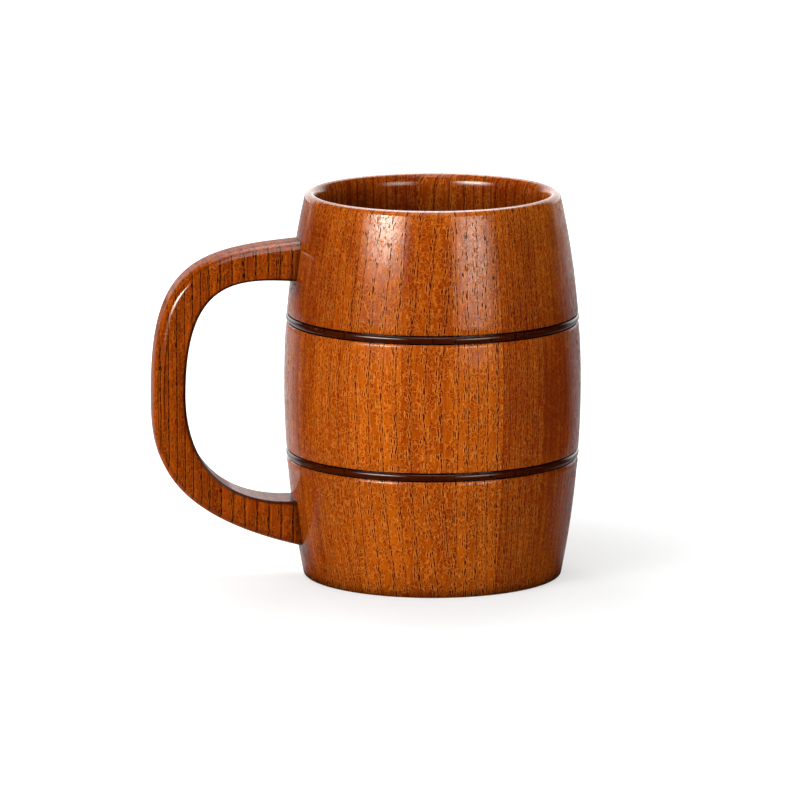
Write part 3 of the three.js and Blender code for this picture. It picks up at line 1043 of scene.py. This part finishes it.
def wood_relief(bench, at, drawn, figure):
    height = bench.times(bench.weighted(0.0, RELIEF, drawn), at["smooth"])
    bump = {"Strength": figure["relief"], "Distance": MM, "Height": height}
    return bench.add("ShaderNodeBump", bump).outputs[0]


def lacquer_left(bench, at, drawn, figure):
    """How much coat is left: broken at pores and wrinkles, thin where it is worn."""
    broken = bench.times(bench.math("MAXIMUM", drawn["lines"], drawn["pores"]), at["smooth"])
    whole = bench.plus(broken, -figure["broken"], 1.0)
    return bench.times(whole, bench.plus(at["pore_show"], figure["worn"], 1.0 - figure["worn"]))


def wood_material(name, colours, figure):
    """A stained and lacquered wood. colours: light, deep, glint, pore. figure: sizes and strengths."""
    material = bpy.data.materials.new(name)
    bench = cleared_bench(material)
    at = read_point(bench)
    drawn = draw_figure(bench, at, figure)
    finish = {
        "Base Color": stained_colour(bench, at, drawn, colours, figure),
        "Normal": wood_relief(bench, at, drawn, figure),
        "Roughness": WOOD_ROUGHNESS,
        "Specular IOR Level": 0.0,
        "Coat Weight": lacquer_left(bench, at, drawn, figure),
        "Coat Roughness": figure["gloss"],
        "Coat IOR": figure["ior"],
    }
    shader = bench.add("ShaderNodeBsdfPrincipled", finish)
    bench.add("ShaderNodeOutputMaterial", {"Surface": shader.outputs[0]})
    return material


# %% [markdown]
# ## The woods
# The staves, the bottom and the handle are stained one orange-brown, a little deeper on the handle, which
# also has the thicker lacquer. The hoops are stained almost black. The dowels are bare pale wood, hidden
# inside the joint. In each figure wobble, pore, later_rows and stray set the rings and pores; band,
# groove, curl, rim, seam and edge say how strongly each mark is coloured, where groove is painted shade
# beside the wrinkles and curl, rim and edge are painted highlights; the rest is the finish.

# %% Mix the woods
STAIN = dict(
    light=(0.53, 0.107, 0.0024, 1), deep=(0.225, 0.021, 0.0002, 1),
    glint=(0.84, 0.275, 0.038, 1), pore=(0.080, 0.0015, 0.0001, 1))
HANDLE_STAIN = dict(
    light=(0.43, 0.073, 0.0011, 1), deep=(0.12, 0.010, 0.0002, 1),
    glint=(0.74, 0.21, 0.008, 1), pore=(0.030, 0.0005, 0.0001, 1))
HOOP_STAIN = dict(
    light=(0.070, 0.0110, 0.0010, 1), deep=(0.035, 0.0045, 0.0004, 1),
    glint=(0.080, 0.0140, 0.0014, 1), pore=(0.010, 0.002, 0.0004, 1))
DOWEL_BARE = dict(
    light=(0.62, 0.42, 0.22, 1), deep=(0.45, 0.28, 0.13, 1),
    glint=(0.66, 0.46, 0.26, 1), pore=(0.22, 0.12, 0.05, 1))
PLAIN_FIGURE = dict(
    later_rows=1.0, stray=0.0, groove=0.0, curl=0.0, rim=0.0, seam=0.0, edge=0.0,
    ior=1.45, broken=0.0, worn=0.0)
STAVE_FIGURE = dict(
    PLAIN_FIGURE, wobble=3.0, pore=1.0, stray=0.85, band=0.25, groove=0.80, curl=0.36, rim=0.62, seam=0.20,
    edge=0.15, relief=1.0, gloss=0.13, broken=0.95)
HANDLE_FIGURE = dict(
    PLAIN_FIGURE, wobble=1.0, pore=1.2, later_rows=0.22, stray=0.45, band=0.5, groove=0.6, curl=0.22,
    rim=0.35, seam=0.38, edge=0.30, relief=1.2, gloss=0.11, ior=1.62, broken=0.10, worn=0.90)
HOOP_FIGURE = dict(
    PLAIN_FIGURE, wobble=0.3, pore=0.5, band=0.2, groove=0.1, curl=0.1, relief=0.15, gloss=0.09)
BARE_FIGURE = dict(
    PLAIN_FIGURE, wobble=0.5, pore=0.4, stray=0.4, band=0.3, relief=0.5, gloss=0.60, worn=1.0)

stave_wood = wood_material("stave_wood", STAIN, STAVE_FIGURE)
handle_wood = wood_material("handle_wood", HANDLE_STAIN, HANDLE_FIGURE)
hoop_wood = wood_material("hoop_wood", HOOP_STAIN, HOOP_FIGURE)
dowel_wood = wood_material("dowel_wood", DOWEL_BARE, BARE_FIGURE)
print("woods:", [m.name for m in (stave_wood, handle_wood, hoop_wood, dowel_wood)])

# %% [markdown]
# ## Putting the pieces on the frame
# Each fine piece stands for its solid and rides on the tankard's one body. The dowels keep their own
# solids, since only their ends inside the joint would ever be seen, and just take the bare wood.

# %% Dress the frame
def dress(piece, node, material):
    piece.data.materials.append(material)
    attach(piece, "root")
    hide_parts(node)


for piece, node in zip(staves, STAVE_NAMES):
    dress(piece, node, stave_wood)
dress(bottom, "bottom_head", stave_wood)
dress(handle, "handle", handle_wood)
for node, piece in hoops.items():
    dress(piece, node, hoop_wood)
for node in ("dowel_upper", "dowel_lower"):
    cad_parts[node].data.materials.clear()
    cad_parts[node].data.materials.append(dowel_wood)
print("pieces riding:", len(staves) + len(hoops) + 2)

# %% [markdown]
# ## The camera
# The photograph was taken from well back with a long lens, a little above the rim and turned a little
# towards the handle. The distance, height and tilt below were worked out from the ellipses of the rim,
# the hoops and the foot.

# %% Place the camera
CAMERA_TURN = radians(-8.0)
CAMERA_DISTANCE = 2.4
CAMERA_HEIGHT = 0.507
CAMERA_TILT = radians(10.591)
FOCAL_PIXELS = 7336.0
IMAGE_PIXELS = 800.0
AXIS_PIXEL = 433.0
FARTHEST_SEEN = 50.0
TOWARDS_BACKDROP = (sin(-CAMERA_TURN), cos(CAMERA_TURN), 0.0)
TOWARDS_RIGHT = (cos(CAMERA_TURN), sin(CAMERA_TURN), 0.0)

camera = new_object("camera", bpy.data.cameras.new("camera"))
bpy.context.scene.camera = camera
camera.data.lens = FOCAL_PIXELS / IMAGE_PIXELS * camera.data.sensor_width
camera.data.clip_end = FARTHEST_SEEN
aim = atan((AXIS_PIXEL - IMAGE_PIXELS / 2) / FOCAL_PIXELS)
camera.location = Vector(TOWARDS_BACKDROP) * -CAMERA_DISTANCE + Vector((0.0, 0.0, CAMERA_HEIGHT))
camera.rotation_euler = (QUARTER - CAMERA_TILT, 0.0, CAMERA_TURN + aim)
print("lens in mm:", round(camera.data.lens, 1))

# %% [markdown]
# ## The floor
# The tankard stands on a pale floor that fades to white round it, sooner behind and to the left, where
# the photograph is washed out. The gloss on the tankard also mirrors the floor. Real studios hang white
# and dark cards to shape such reflections; here the floor's mirrored brightness does that. It rises from
# the front to the back, and where and how far it rises depends on the place: near or far, left or right.

# %% The floor
FLOOR_SIZE = 12.0
FLOOR_GAP = 0.1 * MM
FLOOR_COLOUR = (0.49, 0.515, 0.545, 1)
FLOOR_FADE = (0.05, 0.20)
NEAR_GLOW = 0.55
WASHED_GLOW = 0.80
WASHED_BACK = (-0.25, 0.15)
WASHED_LEFT = (-0.3, -0.8)
NEAR_FADE = (0.25, 0.09)
FAR_FADE = (0.5, 1.2)
RIGHT_FADE = (-0.3, 0.3)
FRONT_MIRRORED = 0.01
BACK_MIRRORED = 0.95
RISE_FROM = {"near": -0.62, "far": 0.26, "right": 0.16, "far_right": -0.36}
RISE_FROM_MIDDLE = 0.32
RISE_TO = {"near": -0.30, "far": 0.17}
RISE_TO_MIDDLE = 0.78
RISE_LEVEL = {"near": -0.2, "far_right": 0.30, "right": -0.45, "far_left": -0.40}


def floor_material():
    material = bpy.data.materials.new("pale_floor")
    bench = cleared_bench(material)
    place = bench.add("ShaderNodeTexCoord").outputs["Object"]
    reach = bench.add("ShaderNodeVectorMath", {0: place}, operation="LENGTH").outputs["Value"]
    back = bench.math("DIVIDE", bench.dot(place, TOWARDS_BACKDROP), reach)
    side = bench.math("DIVIDE", bench.dot(place, TOWARDS_RIGHT), reach)
    washed = bench.times(bench.ease(back, *WASHED_BACK), bench.ease(side, *WASHED_LEFT))
    near_glow = bench.plus(washed, WASHED_GLOW - NEAR_GLOW, NEAR_GLOW)
    glow = bench.ease(reach, *FLOOR_FADE, near_glow, 1.0)
    places = {
        "near": bench.ease(reach, *NEAR_FADE),
        "far": bench.ease(reach, *FAR_FADE),
        "right": bench.ease(side, *RIGHT_FADE),
    }
    places["far_right"] = bench.times(places["far"], places["right"])
    places["far_left"] = bench.math("SUBTRACT", places["far"], places["far_right"])
    start = bench.weighted(RISE_FROM_MIDDLE, RISE_FROM, places)
    end = bench.weighted(RISE_TO_MIDDLE, RISE_TO, places)
    level = bench.weighted(BACK_MIRRORED, RISE_LEVEL, places)
    mirrored = bench.ease(back, start, end, FRONT_MIRRORED, level)
    rays = bench.add("ShaderNodeLightPath").outputs
    diffuse = bench.add("ShaderNodeBsdfDiffuse", {"Color": FLOOR_COLOUR})
    light = bench.add("ShaderNodeEmission", {"Strength": bench.times(glow, rays["Is Camera Ray"])})
    lit = bench.add("ShaderNodeAddShader", {0: diffuse.outputs[0], 1: light.outputs[0]})
    sheen = bench.add("ShaderNodeEmission", {"Strength": mirrored})
    choice = {0: rays["Is Glossy Ray"], 1: lit.outputs[0], 2: sheen.outputs[0]}
    both = bench.add("ShaderNodeMixShader", choice)
    bench.add("ShaderNodeOutputMaterial", {"Surface": both.outputs[0]})
    return material


floor_mesh = bpy.data.meshes.new("floor")
half = FLOOR_SIZE / 2
corners = [(-half, -half, 0), (half, -half, 0), (half, half, 0), (-half, half, 0)]
floor_mesh.from_pydata(corners, [], [(0, 1, 2, 3)])
floor_mesh.materials.append(floor_material())
floor = new_object("floor", floor_mesh)
floor.location.z = -FLOOR_GAP
print("floor across in m:", FLOOR_SIZE)

# %% [markdown]
# ## The backdrop
# To the camera the backdrop is plain white. The gloss sees it bright behind the tankard, dimmer higher
# up, and dark in front where the room is unlit. To everything else it is a faint fill from all round.
# Each fade says where it starts and ends, then the brightness at its start and at its end.

# %% The backdrop and the fill from the room
ROOM_FILL = 0.11
BACKDROP_FADE = (0.60, 0.84, 0.02, 2.4)
HEIGHT_FADES = ((0.05, 0.22, 1.0, 0.95), (0.42, 0.62, 1.0, 0.15))


def make_world():
    world = bpy.data.worlds.new("studio")
    bench = cleared_bench(world)
    way = bench.add("ShaderNodeTexCoord").outputs["Generated"]
    height = bench.split(way)[2]
    mirrored = bench.ease(bench.dot(way, TOWARDS_BACKDROP), *BACKDROP_FADE)
    for fade in HEIGHT_FADES:
        mirrored = bench.times(mirrored, bench.ease(height, *fade))
    rays = bench.add("ShaderNodeLightPath").outputs
    seen = bench.math("ADD", rays["Is Camera Ray"], rays["Is Glossy Ray"], clamp=True)
    strength = bench.math("ADD", rays["Is Camera Ray"], bench.times(rays["Is Glossy Ray"], mirrored))
    strength = bench.plus(bench.math("SUBTRACT", 1.0, seen), ROOM_FILL, strength)
    shade = bench.add("ShaderNodeBackground", {"Strength": strength})
    bench.add("ShaderNodeOutputWorld", {"Surface": shade.outputs[0]})
    return world


bpy.context.scene.world = make_world()
print("room fill:", ROOM_FILL)

# %% [markdown]
# ## The lamps
# A large soft lamp to the left of the camera is the key and gives the broad white highlight on the upper
# band; a dimmer one to the right gives the second, pinker highlight; a wide lamp overhead lights the
# floor. Two lamps behind light the back but aren't mirrored, so they leave the front's gloss alone. The
# last hangs high behind and is only mirrored: it draws the thin white line along the lip.

# %% The lamps
LAMP_AIM = Vector((0.0, 0.0, 0.07))
WARM = (1.0, 0.94, 0.84)
WHITE = (1.0, 1.0, 1.0)


def lamp_direction(turn, rise):
    """A direction turned to the right of the camera and raised above the floor, in degrees."""
    side, up = radians(turn), radians(rise)
    flat = Vector(TOWARDS_BACKDROP) * -cos(side) + Vector(TOWARDS_RIGHT) * sin(side)
    return flat * cos(up) + Vector((0, 0, sin(up)))


def soft_lamp(name, turn, rise, distance, width, tall, radiance, dim, colour):
    """A soft box that fades to its sides and downwards; dim is where it starts to fade and how far."""
    data = bpy.data.lights.new(name, "AREA")
    data.shape = "RECTANGLE"
    data.size, data.size_y = width, tall
    data.energy = radiance * pi * width * tall
    data.color = colour
    bench = cleared_bench(data)
    across, up = bench.split(bench.add("ShaderNodeNewGeometry").outputs["Parametric"])[:2]
    sides = bench.ease(bench.apart(across, 0.5), 0.5, 0.0)
    glow = bench.times(sides, bench.ease(up, *dim, 1.0))
    shine = bench.add("ShaderNodeEmission", {"Strength": glow})
    bench.add("ShaderNodeOutputLight", {"Surface": shine.outputs[0]})
    lamp = new_object(name, data)
    way = lamp_direction(turn, rise)
    lamp.location = LAMP_AIM + way * distance
    lamp.rotation_euler = way.to_track_quat("Z", "Y").to_euler()
    lamp.visible_camera = False
    return lamp


lamps = [
    soft_lamp("key_left", -42.3, 10.25, 1.2, 1.06, 0.521, 33.0, (0.33, 0.86, 0.04), WARM),
    soft_lamp("fill_right", 34.5, 8.0, 1.0, 0.81, 0.425, 9.0, (0.0, 0.8, 0.15), WARM),
    soft_lamp("overhead", 0, 75, 1.8, 1.8, 1.8, 2.0, (0.0, 1.0, 1.0), WHITE),
    soft_lamp("behind_left", -155, 25, 1.4, 1.0, 0.8, 5.0, (0.0, 1.0, 1.0), WARM),
    soft_lamp("behind_right", 160, 25, 1.4, 1.0, 0.8, 4.0, (0.0, 1.0, 1.0), WARM),
    soft_lamp("rim_above", 180, 55, 1.4, 1.8, 1.2, 10.0, (0.0, 0.3, 0.2), WHITE),
]
for lamp in lamps:
    lamp.visible_glossy = not lamp.name.startswith("behind")
    lamp.visible_diffuse = lamp.name != "rim_above"
print("lamp watts:", [round(lamp.data.energy, 1) for lamp in lamps])

# %% [markdown]
# ## Finishing
# The picture is shown with the plain Standard transform, so colours appear as they are written.

# %% Finish
bpy.context.scene.view_settings.view_transform = "Standard"
bpy.context.view_layer.update()
